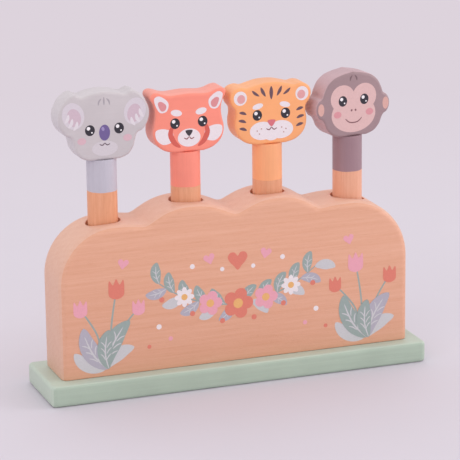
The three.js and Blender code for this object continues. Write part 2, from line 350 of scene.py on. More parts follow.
def turned(profile, sides, weld=0.001):  # a profile of radius and height spun round Z
    bm = bmesh.new()
    verts = [bm.verts.new((radius, 0, height)) for radius, height in profile]
    edges = [bm.edges.new(pair) for pair in zip(verts, verts[1:])]
    bmesh.ops.spin(bm, geom=verts + edges, cent=(0, 0, 0), axis=(0, 0, 1), angle=tau, steps=sides,
                   use_merge=True)
    bmesh.ops.remove_doubles(bm, verts=bm.verts, dist=weld)
    return bm


def moved(bm, offset):
    bmesh.ops.translate(bm, vec=offset, verts=bm.verts)
    return bm


def wire(radius, sides, start, turn, stretches):  # each stretch: centre, axis, angle, climb, steps
    bm = bmesh.new()
    place = Matrix.Translation(start) @ turn
    bmesh.ops.create_circle(bm, cap_ends=True, radius=radius, segments=sides, matrix=place)
    ring = [*bm.verts, *bm.edges]
    for centre, axis, angle, climb, steps in stretches:
        swept = bmesh.ops.spin(bm, geom=ring, cent=centre, axis=axis, angle=angle,
                               dvec=Vector(climb) / steps, steps=steps)
        ring = swept["geom_last"]
    bm.faces.new(vertsOf(ring))
    return bm


def addObject(name, data):
    made = bpy.data.objects.new(name, data)
    bpy.context.scene.collection.objects.link(made)
    return made


def toObject(bm, name, materials=()):
    bmesh.ops.scale(bm, vec=(mm, mm, mm), verts=bm.verts)
    bmesh.ops.recalc_face_normals(bm, faces=bm.faces)
    for face in bm.faces:
        face.smooth = len(face.verts) <= 4
    mesh = bpy.data.meshes.new(name)
    bm.to_mesh(mesh)
    bm.free()
    for material in materials:
        mesh.materials.append(material)
    return addObject(name, mesh)


def carve(piece, cutters):  # takes the cutters' shapes out of the piece
    tools = [toObject(bm, f"{piece.name}Cutter{i}") for i, bm in enumerate(cutters)]
    for tool in tools:
        cut = piece.modifiers.new("cut", "BOOLEAN")
        cut.operation = "DIFFERENCE"
        cut.solver = "EXACT"
        cut.object = tool
    bpy.context.view_layer.update()
    whole = piece.data
    piece.data = bpy.data.meshes.new_from_object(piece.evaluated_get(bpy.context.evaluated_depsgraph_get()))
    piece.modifiers.clear()
    piece.data.name = whole.name
    bpy.data.meshes.remove(whole)
    for tool in tools:
        bpy.data.meshes.remove(tool.data)


def settle(piece, body, slot, *replaced, sharp=35):
    piece.data.set_sharp_from_angle(angle=radians(sharp))
    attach(piece, body)
    if replaced:
        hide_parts(*replaced)


# Printed shapes: thin plates of ink just proud of a front face
ink = {"step": 0.03, "nudge": 0.003, "root": 0.15, "sides": 36, "curveSteps": 6}


def newPage():
    return {"mesh": bmesh.new(), "printed": []}


def freeNudge(page, outline, layer):  # plates of one layer that may overlap never share a plane
    xs, zs = zip(*outline)
    low, high = Vector((min(xs), min(zs))), Vector((max(xs), max(zs)))
    taken = {nudge for otherLow, otherHigh, otherLayer, nudge in page["printed"] if otherLayer == layer
             and low.x < otherHigh.x and otherLow.x < high.x and low.y < otherHigh.y and otherLow.y < high.y}
    free = min(set(range(len(taken) + 1)) - taken)
    page["printed"].append((low, high, layer, free))
    return free


def plate(page, outline, hexCode, layer):
    bm = page["mesh"]
    colours = bm.loops.layers.float_color.get("ink") or bm.loops.layers.float_color.new("ink")
    first = len(bm.faces)
    proud = layer * ink["step"] + freeNudge(page, outline, layer) * ink["nudge"]
    face = bm.faces.new([bm.verts.new((x, -proud, z)) for x, z in outline])
    made = bmesh.ops.extrude_face_region(bm, geom=[face])["geom"]
    bmesh.ops.translate(bm, vec=(0, proud + ink["root"], 0), verts=vertsOf(made))
    bm.faces.ensure_lookup_table()
    for added in bm.faces[first:]:
        for loop in added.loops:
            loop[colours] = linear(hexCode)


def heading(degrees):
    return Vector((cos(radians(degrees)), sin(radians(degrees))))


def turnedPoints(points, centre, degrees, flip=1):
    rotation = Matrix.Rotation(radians(degrees), 2)
    return [Vector(centre) + rotation @ Vector((flip * x, z)) for x, z in points]


def oval(page, centre, radii, hexCode, layer, turn=0):
    ring = [(radii[0] * x, radii[1] * z) for x, z in arc((0, 0), 1, 0, 360, ink["sides"])[:-1]]
    plate(page, turnedPoints(ring, centre, turn), hexCode, layer)


def stroke(page, points, width, hexCode, layer, taper=0.3):  # taper 1 makes a pointed leaf shape
    line = throughPoints(points, ink["curveSteps"])
    left, right = [], []
    for i in range(1, len(line) - 1):
        along = (line[i + 1] - line[i - 1]).normalized()
        side = Vector((-along.y, along.x)) * (width / 2) * sin(pi * i / (len(line) - 1)) ** taper
        left.append(line[i] + side)
        right.append(line[i] - side)
    plate(page, [line[0], *right, line[-1], *reversed(left)], hexCode, layer)


def patch(page, points, hexCode, layer, centre=(0, 0), turn=0, size=1, flip=1):  # a smooth closed shape
    closed = [Vector(point) * size for point in points]
    smooth = throughPoints([closed[-1], *closed, closed[0], closed[1]], ink["curveSteps"])
    ring = smooth[ink["curveSteps"]:-1 - ink["curveSteps"]]
    plate(page, turnedPoints(ring, centre, turn, flip), hexCode, layer)


# Sizes read from the frame
blockLow, blockHigh = cadSpan("block")
baseLow, baseHigh = cadSpan("base_plate")
dowelSpans = {animal: cadSpan(f"{animal}_dowel") for animal in animals}
pegPlaces = {animal: (low.x + high.x) / 2 for animal, (low, high) in dowelSpans.items()}
pegDiameter = dowelSpans["koala"][1].y - dowelSpans["koala"][0].y
chinHeight = dowelSpans["koala"][1].z
steel = steelMaterial()
print("frame read: pegs at", [round(x, 1) for x in pegPlaces.values()], "chins at", round(chinHeight, 1))

# Base plate
base = {
    "corner": 4, "edge": 2.5, "cornerSteps": 8, "edgeSteps": 6,
    # the second paint is a paler copy of the first for the top, the ends and the underside: painted light
    # and painted sheen
    "paints": {"mintPaint": "#abbaaa", "mintPaintedLightTopPaint": "#bac6b8"}, "thin": 0.7,
    "holeMouth": 4.3, "holeNeck": 2.3, "holeSink": 0.6, "holeSeat": 2.5, "holeReach": 30, "holeSides": 48,
}


def makeBase():
    bm = box(baseHigh - baseLow)
    corners = [e for e in bm.edges if abs(e.verts[0].co.z - e.verts[1].co.z) > base["edge"]]
    roundEdges(bm, corners, base["corner"], base["cornerSteps"])
    roundEdges(bm, rimsOf(bm), base["edge"], base["edgeSteps"])
    moved(bm, (baseLow + baseHigh) / 2)
    paintFronts(bm)
    paints = [paintMaterial(name, paint, base["thin"]) for name, paint in base["paints"].items()]
    piece = toObject(bm, "basePlate", paints)
    screws = [cadSpan(f"base_screw_{i}") for i in range(1, 5)]
    carve(piece, [screwHole((low + high) / 2) for low, high in screws])
    settle(piece, "stand", "mint_paint", "base_plate")


def screwHole(place):
    mouth, neck, sink = base["holeMouth"], base["holeNeck"], base["holeSink"]
    seat, reach = sink + base["holeSeat"], base["holeReach"]
    profile = [(0, -sink), (mouth, -sink), (mouth, sink), (neck, seat), (neck, reach), (0, reach)]
    return moved(turned(profile, base["holeSides"]), (place.x, place.y, 0))


makeBase()
print("base plate made")

# Block
block = {
    "outerHumpDrop": 9, "outerDipDrop": 1.5, "middleDipDrop": 8, "leftDipReach": 22.5, "rightDipReach": 26.5,
    "leftShoulder": 38, "rightShoulder": 42, "humpShare": 0.6, "dipShare": 0.15, "waveSteps": 14,
    "shoulderSteps": 24, "edge": 4.5, "edgeSteps": 6,
    "boreSides": 72, "borePlay": 1.7, "boreEdge": 0.6, "footEdge": 1.0, "fineEdgeSteps": 2, "overrun": 3,
    "weld": 0.02, "slack": 0.05, "sharpAngle": 50,
    # the rim wood is a paler copy of the front's wood for the top, the ends, the rims and the bores: painted
    # light and painted sheen
    "wood": ("#e8af94", "#d99a7a", 0.8), "paintedLightRimWood": ("#eabba6", "#dea58b", 0.7),  # light, dark, figure
    # end tones towards both ends of the block: end grain with painted sheen and painted shade
    "ends": {"light": "#e4b8a3", "dark": "#d9a288"}, "grainShift": (0.03, 0.055, 0.04),
}


def blockOutline():
    top = blockHigh.z
    hump = top - block["outerHumpDrop"]
    outerDip = hump - block["outerDipDrop"]
    left, right, steps = block["leftShoulder"], block["rightShoulder"], block["shoulderSteps"]
    leftPlace, rightPlace = blockLow.x + left, blockHigh.x - right
    leftDip = pegPlaces["koala"] + block["leftDipReach"]
    rightDip = pegPlaces["monkey"] - block["rightDipReach"]
    crests = [(rightPlace, hump), (rightDip, outerDip), (rightDip / 2, top),
              (0, top - block["middleDipDrop"]),
              (leftDip / 2, top), (leftDip, outerDip), (leftPlace, hump)]
    foot = blockLow.z - block["edge"]  # below the plate's top, where makeBlock cuts it off
    outline = [Vector((blockLow.x, foot)), Vector((blockHigh.x, foot))]
    outline += arc((rightPlace, hump - right), right, 0, 90, steps)[:-1]
    shares = (block["humpShare"], block["dipShare"])
    for (fromX, fromZ), (x, z) in zip(crests, crests[1:]):
        leaving, arriving = shares if fromZ > z else shares[::-1]
        run = x - fromX
        knots = [(fromX, fromZ), (fromX + leaving * run, fromZ), (x - arriving * run, z), (x, z)]
        outline += interpolate_bezier(*[Vector(knot) for knot in knots], block["waveSteps"] + 1)[:-1]
    outline += arc((leftPlace, hump - left), left, 90, 180, steps)
    return outline


def softenEdges(piece):  # small round edges where each bore meets the wavy top, and where the block stands
    radius = (pegDiameter / 2 + block["borePlay"]) * mm
    middle = (blockLow.z + blockHigh.z) / 2 * mm
    slack = block["slack"] * mm
    centres = [Vector((x * mm, 0)) for x in pegPlaces.values()]
    bm = bmesh.new()
    bm.from_mesh(piece.data)
    bmesh.ops.remove_doubles(bm, verts=bm.verts, dist=block["weld"] * mm)

    def onRim(vert):
        return vert.co.z > middle and any(abs((vert.co.xy - c).length - radius) < slack for c in centres)

    def onFoot(vert):
        clear = all((vert.co.xy - c).length > radius + mm for c in centres)
        return clear and vert.co.z < blockLow.z * mm + slack

    for chosen, offset in ((onRim, block["boreEdge"]), (onFoot, block["footEdge"])):
        sharp = [e for e in bm.edges if e.is_manifold and all(chosen(v) for v in e.verts)
                 and e.calc_face_angle() > radians(block["sharpAngle"])]
        roundEdges(bm, sharp, offset * mm, block["fineEdgeSteps"], clamp=True)
    bm.to_mesh(piece.data)
    bm.free()


def makeBlock():
    bm = slab(blockOutline(), blockHigh.y - blockLow.y, block["edge"], block["edgeSteps"])
    paintFronts(bm)
    ends = {**block["ends"], "from": pegPlaces["monkey"] * mm, "to": blockHigh.x * mm}
    shift = block["grainShift"]
    # the second wood, on the top, the ends and the rims, is a paler copy with painted light and painted
    # sheen
    woods = [woodMaterial("blockWood", *block["wood"], shift),
             woodMaterial("blockPaintedLightRimWood", *block["paintedLightRimWood"], shift, ends=ends)]
    piece = toObject(bm, "wavyBlock", woods)
    radius = pegDiameter / 2 + block["borePlay"]
    low, high = blockLow.z - block["overrun"], blockHigh.z + block["overrun"]
    profile = [(0, low), (radius, low), (radius, high), (0, high)]
    bores = [moved(turned(profile, block["boreSides"]), (x, 0, 0)) for x in pegPlaces.values()]
    foot = moved(box((*(baseHigh - baseLow).xy, 2 * block["edge"])), (0, 0, blockLow.z - block["edge"]))
    carve(piece, [foot, *bores])
    softenEdges(piece)
    settle(piece, "stand", "light_wood", "block")


makeBlock()
print("block made")

# Springs
spring = {
    "wire": 1, "turns": 8, "closedTurns": 1, "closedPitch": 1.5, "wireSides": 10, "turnSteps": 32,
    "sharpAngle": 50,
}


def makeSpring(animal):
    low, high = cadSpan(f"{animal}_spring")
    radius = (high.y - low.y - spring["wire"]) / 2
    climb = high.z - low.z - spring["wire"]
    openTurns = spring["turns"] - spring["closedTurns"]
    openPitch = (climb - spring["closedTurns"] * spring["closedPitch"]) / openTurns
    coils = [((0, 0, 0), (0, 0, 1), tau * turns, (0, 0, pitch * turns), turns * spring["turnSteps"])
             for turns, pitch in ((openTurns, openPitch), (spring["closedTurns"], spring["closedPitch"]))]
    bm = wire(spring["wire"] / 2, spring["wireSides"], (radius, 0, low.z + spring["wire"] / 2),
              Matrix.Rotation(pi / 2, 4, "X"), coils)
    piece = toObject(moved(bm, (pegPlaces[animal], 0, 0)), f"{animal}Spring", [steel])
    piece.data.set_sharp_from_angle(angle=radians(spring["sharpAngle"]))
    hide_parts(f"{animal}_spring")
    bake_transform(piece)


for animal in animals:
    makeSpring(animal)
print("springs made")

# Staples over the springs' bottom coils
staple = {"wire": 0.9, "bend": 0.6, "sides": 12, "bendSteps": 6, "sharpAngle": 50}


def makeStaple(animal):
    low, high = cadSpan(f"{animal}_staple")
    half, bend, steps = staple["wire"] / 2, staple["bend"], staple["bendSteps"]
    inner, outer, crown = low.y + half, high.y - half, high.z - half
    leg = crown - bend - low.z
    across = (1, 0, 0)
    stretches = [
        ((0, 0, 0), across, 0, (0, 0, leg), 1),
        ((0, inner + bend, crown - bend), across, -pi / 2, (0, 0, 0), steps),
        ((0, 0, 0), across, 0, (0, outer - inner - 2 * bend, 0), 1),
        ((0, outer - bend, crown - bend), across, -pi / 2, (0, 0, 0), steps),
        ((0, 0, 0), across, 0, (0, 0, -leg), 1),
    ]
    bm = wire(half, staple["sides"], (0, inner, low.z), Matrix.Identity(4), stretches)
    piece = toObject(moved(bm, (pegPlaces[animal], 0, 0)), f"{animal}Staple", [steel])
    settle(piece, "stand", "steel", f"{animal}_staple", sharp=staple["sharpAngle"])


for animal in animals:
    makeStaple(animal)
print("staples made")

# Wood screws from below: countersunk heads with a cross recess, and a thread on the part in the block
screw = {
    "rim": 0.25, "cone": 2.5, "shank": 2, "shankTo": 15.5, "core": 1.4, "coreFrom": 16, "tip": 4,
    "sides": 40, "thread": 2, "threadFrom": 17, "pitch": 1.8, "turns": 10, "turnSteps": 20,
    "ridgeHalf": 0.3, "ridgeRoot": 0.9, "recess": 4.8, "arm": 1.1, "recessDepth": 1.6, "taper": 0.5,
    "recessTurn": 0.05,  # keeps the recess's corners off the head's own edges
    "driven": 0.7,  # each screw is turned this much further than the one before
}


def crossRecess(sink):  # a cross that narrows towards its floor
    reach, arm = screw["recess"] / 2, screw["arm"] / 2
    bm = bmesh.new()
    corners = [Matrix.Rotation(pi / 2 * i + screw["recessTurn"], 2) @ Vector(point)
               for i in range(4) for point in ((reach, -arm), (reach, arm), (arm, arm))]
    mouth = bm.faces.new([bm.verts.new((x, y, sink - screw["recessDepth"])) for x, y in corners])
    deep = vertsOf(bmesh.ops.extrude_face_region(bm, geom=[mouth])["geom"])
    bmesh.ops.translate(bm, vec=(0, 0, 2 * screw["recessDepth"]), verts=deep)
    bmesh.ops.scale(bm, vec=(screw["taper"], screw["taper"], 1), verts=deep)
    return bm


def screwThread(tip):  # a ridge wound round the core, running out along the point
    bm = bmesh.new()
    start, half = screw["threadFrom"], screw["pitch"] * screw["ridgeHalf"]
    root = screw["core"] * screw["ridgeRoot"]
    ridge = ((root, 0, start - half), (screw["thread"], 0, start), (root, 0, start + half))
    bm.faces.new([bm.verts.new(place) for place in ridge])
    wound = bmesh.ops.spin(bm, geom=[*bm.verts, *bm.edges], cent=(0, 0, 0), axis=(0, 0, 1),
                           angle=tau * screw["turns"], dvec=(0, 0, screw["pitch"] / screw["turnSteps"]),
                           steps=screw["turns"] * screw["turnSteps"])
    bm.faces.new(vertsOf(wound["geom_last"]))
    for vert in bm.verts:
        vert.co.xy *= min(1, (tip - vert.co.z) / screw["tip"])
    return bm


def makeScrew(i):
    low, high = cadSpan(f"base_screw_{i}")
    radius, sink, tip = (high.x - low.x) / 2, low.z, high.z
    rim, shank, core = screw["rim"], screw["shank"], screw["core"]
    profile = [(0, sink), (radius - rim / 2, sink), (radius, sink + rim), (shank, sink + screw["cone"]),
               (shank, screw["shankTo"]), (core, screw["coreFrom"]), (core, tip - screw["tip"]), (0, tip)]
    piece = toObject(turned(profile, screw["sides"]), f"baseScrew{i}", [steel])
    carve(piece, [crossRecess(sink)])
    bm = screwThread(tip)
    bmesh.ops.scale(bm, vec=(mm, mm, mm), verts=bm.verts)
    bmesh.ops.recalc_face_normals(bm, faces=bm.faces)
    bm.from_mesh(piece.data)
    driven = Matrix.Rotation(screw["driven"] * i, 3, "Z")
    bmesh.ops.rotate(bm, cent=(0, 0, 0), matrix=driven, verts=bm.verts)
    moved(bm, ((low.x + high.x) / 2 * mm, (low.y + high.y) / 2 * mm, 0))
    bm.to_mesh(piece.data)
    bm.free()
    settle(piece, "stand", "steel", f"base_screw_{i}")


for i in range(1, 5):
    makeScrew(i)
print("screws made")

# Dowels, each dipped in its head's paint
dowel = {
    "lowerEdge": 1.5, "upperEdge": 0.1, "edgeSteps": 5, "sides": 96, "pinHole": 4.3, "pinHoleDepth": 13.3,
    "rise": 0.3, "grainShift": (0.31, 0.017, 0.013), "wood": ("#ebaa86", "#d58b64"),
    "ownWood": {"koala": ("#eca883", "#d48a60"), "monkey": ("#eeb193", "#d99375")},
}
necks = {  # painted length below the chin, and its paint
    "koala": (21.5, "#bfb9c5"), "red_panda": (23.5, "#f88e7b"), "tiger": (24.5, "#f9ab79"),
    "monkey": (24, "#9a7981"),
}


def makeDowel(animal, order):
    low, high = dowelSpans[animal]
    radius = (high.y - low.y) / 2
    bottom, top, hole = low.z, high.z + dowel["rise"], dowel["pinHole"]
    lower, upper = dowel["lowerEdge"], dowel["upperEdge"]
    profile = [(0, bottom)]
    profile += arc((radius - lower, bottom + lower), lower, -90, 0, dowel["edgeSteps"])
    profile += arc((radius - upper, top - upper), upper, 0, 90, dowel["edgeSteps"])
    floor = high.z - dowel["pinHoleDepth"]
    profile += [(hole, top), (hole, floor), (0, floor)]
    bm = moved(turned(profile, dowel["sides"]), (pegPlaces[animal], 0, 0))
    painted, paint = necks[animal]
    level = (high.z - painted) * mm
    tones = dowel["ownWood"].get(animal, dowel["wood"])
    along, across, deep = dowel["grainShift"]
    shift = (along * order, across * order, deep)
    dipped = dippedDowelMaterial(f"{animal}Dowel", *tones, paint, level, shift)
    piece = toObject(bm, f"{animal}Dowel", [dipped])
    settle(piece, f"{animal}_peg_body", "dowel_wood", f"{animal}_dowel")


for order, animal in enumerate(animals):
    makeDowel(animal, order)
print("dowels made")

# Fluted pins that join each dowel to its head
pin = {"flutes": 20, "sidesPerFlute": 4, "fluteDepth": 0.25, "edge": 0.8}
pinWood = woodMaterial("pinWood", *dowel["wood"], turn=upright)


def makePin(animal):
    low, high = cadSpan(f"{animal}_neck_pin")
    radius, edge = (high.y - low.y) / 2, pin["edge"]
    bm = bmesh.new()
    bmesh.ops.create_circle(bm, cap_ends=True, radius=radius, segments=pin["flutes"] * pin["sidesPerFlute"])
    for vert in list(bm.verts)[::pin["sidesPerFlute"]]:
        vert.co *= 1 - pin["fluteDepth"] / radius
    moved(bm, (0, 0, low.z))
    narrow = (radius - edge) / radius
    bmesh.ops.scale(bm, vec=(narrow, narrow, 1), verts=bm.verts)
    rim = list(bm.edges)
    for climb, widen in ((edge, 1 / narrow), (high.z - low.z - 2 * edge, 1), (edge, narrow)):
        made = bmesh.ops.extrude_edge_only(bm, edges=rim)["geom"]
        verts = vertsOf(made)
        rim = [item for item in made
               if isinstance(item, bmesh.types.BMEdge) and all(v in verts for v in item.verts)]
        bmesh.ops.translate(bm, vec=(0, 0, climb), verts=verts)
        bmesh.ops.scale(bm, vec=(widen, widen, 1), verts=verts)
    bmesh.ops.edgenet_fill(bm, edges=rim)
    piece = toObject(moved(bm, (pegPlaces[animal], 0, 0)), f"{animal}Pin", [pinWood])
    settle(piece, f"{animal}_pin_body", "dowel_wood", f"{animal}_neck_pin")


for animal in animals:
    makePin(animal)
print("neck pins made")

# Heads: half outlines from beside the chin's flat to the crown, as shares of half width and height
head = {
    "edge": 2, "edgeSteps": 5, "outlineSteps": 7, "chinOverhang": 0.5, "gap": 0.3,
    "pinHole": 4.3, "pinHoleDepth": 13.3, "pinHoleSides": 32,
    "printCoat": (0.25, (0, 0.2, 0.1)), "sideCoat": (1.0, (0.1, 0.3, 0)),  # thinness, and the grain's place
}
heads = {
    "koala": {
        "width": 62.5, "height": 46, "turn": 0, "print": "#c9c0c3", "side": "#cdc5c9",
        "outline": [
            (0.516, 0.048), (0.634, 0.152), (0.681, 0.27), (0.731, 0.352), (0.856, 0.4), (0.966, 0.513),
            (1, 0.661), (0.931, 0.804), (0.806, 0.913), (0.637, 0.974), (0.469, 0.935), (0.25, 0.97),
            (0, 0.991),
        ],
    },
    "red_panda": {
        "width": 53, "height": 41.5, "turn": 0, "print": "#fa907d", "side": "#f29c8c",
        "outline": [
            (0.636, 0.046), (0.829, 0.142), (0.92, 0.26), (0.935, 0.381), (0.898, 0.494),
            (0.869, 0.602), (0.876, 0.723), (0.927, 0.824), (0.993, 0.901), (0.978, 0.966), (0.884, 1),
            (0.756, 0.99), (0.604, 0.954), (0.444, 0.937), (0.233, 0.945), (0, 0.954),
        ],
    },
    "tiger": {
        "width": 57.5, "height": 42, "turn": 0, "print": "#faab73", "side": "#f6ae7b",
        "outline": [
            (0.6, 0.043), (0.779, 0.136), (0.869, 0.257), (0.886, 0.386), (0.862, 0.5), (0.876, 0.59),
            (0.952, 0.662), (1, 0.762), (0.972, 0.862), (0.862, 0.929), (0.717, 0.95), (0.579, 0.933),
            (0.428, 0.957), (0.221, 0.99), (0, 1),
        ],
    },
    "monkey": {
        "width": 56.5, "height": 44.5, "turn": 6.5, "print": "#a08488", "side": "#c09fa5",
        "outline": [
            (0.568, 0.045), (0.716, 0.139), (0.782, 0.234), (0.839, 0.29), (0.926, 0.326),
            (0.989, 0.404), (0.993, 0.503), (0.926, 0.584), (0.828, 0.629), (0.782, 0.706),
            (0.681, 0.827), (0.505, 0.919), (0.288, 0.966), (0.112, 0.987), (0, 1),
        ],
    },
}
headThickness = cadSpan("koala_head")[1].y - cadSpan("koala_head")[0].y


def atHead(bm, animal):  # turns a piece with its head and sets it on its peg
    turn = Matrix.Rotation(radians(heads[animal]["turn"]), 3, "Z")
    bmesh.ops.rotate(bm, cent=(0, 0, 0), matrix=turn, verts=bm.verts)
    return moved(bm, (pegPlaces[animal], 0, chinHeight + head["gap"]))


def makeHead(animal):
    style = heads[animal]
    seat = pegDiameter / 2 + head["chinOverhang"]
    half = [Vector((x * style["width"] / 2, z * style["height"])) for x, z in style["outline"]]
    mirrored = [Vector((-point.x, point.y)) for point in reversed(half[:-1])]
    outline = throughPoints([(seat, 0), *half, *mirrored, (-seat, 0)], head["outlineSteps"])
    bm = slab(outline, headThickness, head["edge"], head["edgeSteps"])
    paintFronts(bm)
    materials = [paintMaterial(f"{animal}Front", style["print"], *head["printCoat"]),
                 paintMaterial(f"{animal}Side", style["side"], *head["sideCoat"])]
    piece = toObject(atHead(bm, animal), f"{animal}Head", materials)
    low, radius, depth = -head["edge"], head["pinHole"], head["pinHoleDepth"]
    hole = turned([(0, low), (radius, low), (radius, depth), (0, depth)], head["pinHoleSides"])
    carve(piece, [atHead(hole, animal)])
    settle(piece, f"{animal}_peg_body", f"{animal}_paint", f"{animal}_head")


for animal in animals:
    makeHead(animal)
print("heads made")

# Faces, in millimetres from the middle of each chin
fur = "#ebdfe4"  # the pale fur of the red panda and the tiger
eye = {
    "dark": "#2b2731", "shine": "#f4eef1",
    "glints": (((-0.3, 0.38), 0.36), ((0.4, -0.42), 0.17)),  # place and size as shares of the eye
}
mouth = {"width": 0.7, "bend": 0.45, "layer": 4}


def eyePair(page, x, z, radii=(3.3, 3.6), layer=3):
    for side in (-1, 1):
        oval(page, (side * x, z), radii, eye["dark"], layer)
        for (across, up), share in eye["glints"]:
            place = (side * x + radii[0] * across, z + radii[1] * up)
            oval(page, place, (radii[0] * share, radii[0] * share), eye["shine"], layer + 1)


def ovals(page, centre, radii, hexCode, layer, turn=0):  # one on each side of the face
    for side in (-1, 1):
        oval(page, (side * centre[0], centre[1]), radii, hexCode, layer, turn=side * turn)


def onSide(side, *points):
    return [(side * x, z) for x, z in points]


def smile(page, foot, reach, drop, hexCode):  # two soft curves that meet below the nose
    bend = mouth["bend"]
    for side in (-1, 1):
        line = [foot, (side * reach * bend, foot[1] - drop), (side * reach, foot[1] - drop * bend)]
        stroke(page, line, mouth["width"], hexCode, mouth["layer"])


koalaTones = {
    "ear": "#d6ccd4", "innerEar": "#cfb7c3", "tuft": "#e0d7dd", "muzzle": "#d2c9cf", "nose": "#6f5d93",
    "noseShine": "#9d8dbd", "mouth": "#6d5b66", "cheek": "#d8b2bc", "crown": "#aaa1a8",
}


def koalaFace(page):
    tones = koalaTones
    ovals(page, (21, 31), (7.4, 9), tones["ear"], 1, turn=-16)
    ovals(page, (20.4, 29.8), (4.6, 6.2), tones["innerEar"], 2, turn=-16)
    for x, z in ((26.8, 26.6), (24.3, 23.4), (21, 21.4)):  # tufts along the lower rim of each ear
        for side in (-1, 1):
            tuft = onSide(side, (x, z), (x - 2, z + 2.7), (x - 2.7, z + 6))
            stroke(page, tuft, 2.3, tones["tuft"], 3, taper=0.8)
    oval(page, (0, 7.9), (8.8, 5), tones["muzzle"], 1)
    eyePair(page, 9.9, 20.6)
    oval(page, (0, 18.4), (3.7, 5.3), tones["nose"], 3)
    oval(page, (-1.1, 21), (1, 1.4), tones["noseShine"], 4, turn=20)
    smile(page, (0, 11.6), 3.6, 1.5, tones["mouth"])
    ovals(page, (15.6, 13.8), (3, 2.3), tones["cheek"], 2)
    for lean, top in ((-3.2, 41.2), (0, 42.2), (3.2, 41.2)):  # hairs on the crown
        hair = [(lean * 1.2, 36.6), (lean * 1.05, 39.2), (lean * 0.5, top)]
        stroke(page, hair, 1.1, tones["crown"], 1, taper=0.8)


redPandaTones = {"innerEar": "#dd8f92", "tear": "#d65f53", "nose": "#3a343c", "mouth": "#8d4b4d"}
earShape = [(0.1, 1), (0.72, 0.82), (0.6, -0.1), (0.2, -0.75), (-0.5, -0.65), (-0.72, 0.2)]
cheekShape = [(0.95, 0.6), (0.9, -0.25), (0.2, -0.85), (-0.75, -0.6), (-0.8, 0.3), (0.1, 0.75)]
noseShape = [(-1, 0.6), (1, 0.6), (0, -0.9)]


def redPandaFace(page):
    tones = redPandaTones
    for side in (-1, 1):
        ear, innerEar, cheek = onSide(side, (18.6, 32.8), (18.2, 31.8), (16.6, 12))
        patch(page, earShape, fur, 1, centre=ear, turn=side * -6, size=6.4, flip=side)
        patch(page, earShape, tones["innerEar"], 2, centre=innerEar, turn=side * -6, size=3.7, flip=side)
        oval(page, (side * 8.6, 27), (3.9, 2.2), fur, 2, turn=side * 12)
        patch(page, cheekShape, fur, 1, centre=cheek, size=6.6, flip=side)
        tear = onSide(side, (10.6, 19.5), (12.9, 13.4), (10.3, 7.2), (6, 3.6))
        stroke(page, tear, 3.6, tones["tear"], 2, taper=0.6)
    oval(page, (0, 9.8), (7.9, 6.1), fur, 3)
    eyePair(page, 9.6, 20, layer=4)
    patch(page, noseShape, tones["nose"], 4, centre=(0, 13.1), size=2.5)
    smile(page, (0, 10.6), 3.6, 1.6, tones["mouth"])


tigerTones = {
    "innerEar": "#e2a1a2", "stripe": "#6a4d58", "whisker": "#b98a80", "nose": "#d9717b", "mouth": "#83565f",
}


def tigerFace(page):
    tones = tigerTones
    ovals(page, (21.8, 32.8), (4.6, 4.8), fur, 1)
    ovals(page, (21.3, 32.2), (2.8, 3), tones["innerEar"], 2)
    stroke(page, [(0, 39.6), (0, 35.4), (0, 30.4)], 2.6, tones["stripe"], 1, taper=0.9)
    for side in (-1, 1):
        stripes = [(2.2, (7.4, 39.2), (6, 36), (4, 32.6)),
                   (1.9, (13.6, 37.4), (11.4, 35.2), (8.4, 33.2))]
        for z, outer, inner in ((22.4, 22.8, 17.6), (17, 23.4, 17.8), (11.6, 22.8, 17.4)):
            stripes.append((2.1, (outer, z + 0.8), ((outer + inner) / 2, z + 0.4), (inner, z - 0.8)))
        for width, *points in stripes:
            stroke(page, onSide(side, *points), width, tones["stripe"], 1, taper=0.9)
        oval(page, (side * 9.6, 26.4), (3.8, 1.9), fur, 1, turn=side * -14)
        oval(page, (side * 6.6, 9.6), (8.8, 6.2), fur, 2)
        for root in onSide(side, (7.2, 11), (10.2, 9.8), (8.6, 7.6)):
            oval(page, root, (0.45, 0.45), tones["whisker"], 4)
    oval(page, (0, 6.2), (5.2, 3.6), fur, 1)
    eyePair(page, 10, 20.4)
    patch(page, noseShape, tones["nose"], 4, centre=(0, 14.6), size=2.8)
    smile(page, (0, 11.8), 3.8, 1.8, tones["mouth"])


monkeyTones = {
    "ear": "#d8a79e", "mask": "#dcb5b3", "line": "#84585d", "crown": "#7b6166", "cheek": "#d8939a",
}


def monkeyFace(page):
    tones = monkeyTones
    ovals(page, (24.6, 20.4), (2.3, 4.2), tones["ear"], 1)
    ovals(page, (8.2, 26.6), (9.2, 9.2), tones["mask"], 1)
    oval(page, (0, 15.2), (16.8, 12.4), tones["mask"], 1)
    eyePair(page, 8.2, 24.8, (3.2, 3.6))
    for side in (-1, 1):
        oval(page, (side * 1.5, 18), (0.65, 0.8), tones["line"], 3, turn=side * 20)
        hair = onSide(side, (2.6, 38), (2.2, 40.2), (0.8, 42))
        stroke(page, hair, 1.2, tones["crown"], 1, taper=0.9)
    stroke(page, [(-6.4, 12.6), (-2.8, 9.8), (2.8, 9.8), (6.4, 12.6)], 0.8, tones["line"], 3)
    ovals(page, (12.2, 15.8), (2.9, 2.3), tones["cheek"], 2)


faceDrawings = {"koala": koalaFace, "red_panda": redPandaFace, "tiger": tigerFace, "monkey": monkeyFace}
for animal in animals:
    page = newPage()
    faceDrawings[animal](page)
    bm = moved(page["mesh"], (0, -headThickness / 2, 0))
    piece = toObject(atHead(bm, animal), f"{animal}Face", [inkMaterial(f"{animal}Ink")])
    settle(piece, f"{animal}_peg_body", f"{animal}_paint")
print("faces printed")

